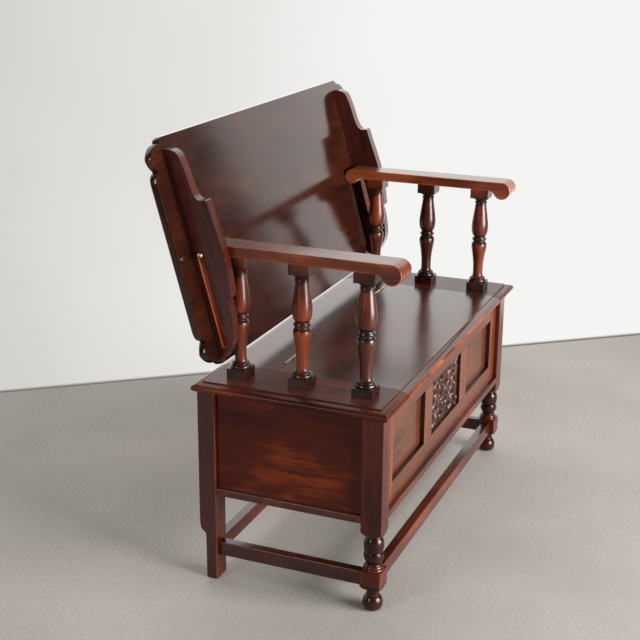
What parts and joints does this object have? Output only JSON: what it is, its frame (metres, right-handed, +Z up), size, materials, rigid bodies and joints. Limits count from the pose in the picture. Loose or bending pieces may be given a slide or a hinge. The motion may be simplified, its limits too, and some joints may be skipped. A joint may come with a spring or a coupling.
{
  "type": "storage bench",
  "caption": "Dark wood box bench with turned legs and balusters, flat arms, a lifting seat and a scalloped back that folds forward as a table.",
  "frame": {"origin": "on the floor, under the middle of the bench's bounding box", "axes": "+Z up, -Y towards the front of the bench, +X along its length"},
  "size_m": [0.988, 0.4998, 0.9165],
  "materials": {
    "polished_wood": "dark red-brown stain, glossy French polish",
    "carved_wood": "the same polish, darker in the carving",
    "inside_wood": "thin brown stain, dull",
    "brass": "aged"
  },
  "bodies": {
    "bench": {"front_leg_left": "polished_wood", "front_leg_right": "polished_wood", "rear_leg_left": "polished_wood", "rear_leg_right": "polished_wood", "stretcher_front": "polished_wood", "stretcher_rear": "polished_wood", "stretcher_left": "polished_wood", "stretcher_right": "polished_wood", "bottom_board": "polished_wood", "end_panel_left": "polished_wood", "end_panel_right": "polished_wood", "front_top_rail": "polished_wood", "front_bottom_rail": "polished_wood", "front_stile_left": "polished_wood", "front_stile_right": "polished_wood", "front_muntin_left": "polished_wood", "front_muntin_right": "polished_wood", "front_panel_left": "polished_wood", "front_panel_right": "polished_wood", "front_panel_carved": "carved_wood", "back_top_rail": "inside_wood", "back_bottom_rail": "inside_wood", "back_panel": "inside_wood", "seat_rear_board": "polished_wood", "seat_end_left": "polished_wood", "seat_end_right": "polished_wood", "hinge_left_fixed_leaf": "brass", "hinge_left_pin": "brass", "hinge_right_fixed_leaf": "brass", "hinge_right_pin": "brass", "baluster_front_left": "polished_wood", "baluster_front_right": "polished_wood", "baluster_middle_left": "polished_wood", "baluster_middle_right": "polished_wood", "baluster_rear_left": "polished_wood", "baluster_rear_right": "polished_wood", "arm_left": "polished_wood", "arm_right": "polished_wood"},
    "lid": {"seat_lid": "polished_wood", "lid_batten_left": "inside_wood", "lid_batten_right": "inside_wood", "hinge_left_lid_leaf": "brass", "hinge_right_lid_leaf": "brass"},
    "pins": {"pivot_pin_left": "brass", "pivot_pin_right": "brass"},
    "top": {"table_top": "polished_wood", "bracket_left": "polished_wood", "bracket_right": "polished_wood"}
  },
  "joints": [
    {"name": "lid_hinge", "type": "hinge", "parent": "bench", "child": "lid", "pos_m": [0, 0.03692, 0.44], "axis": [-1, 0, 0], "range_deg": [0, 115]},
    {"name": "top_tilt", "type": "hinge", "parent": "bench", "child": "pins", "pos_m": [0, 0.15042, 0.6945], "axis": [1, 0, 0], "range_deg": [0, 106]},
    {"name": "top_slide", "type": "slide", "parent": "pins", "child": "top", "axis": [0, 0.2756, 0.9613], "range_m": [0, 0.183]}
  ]
}
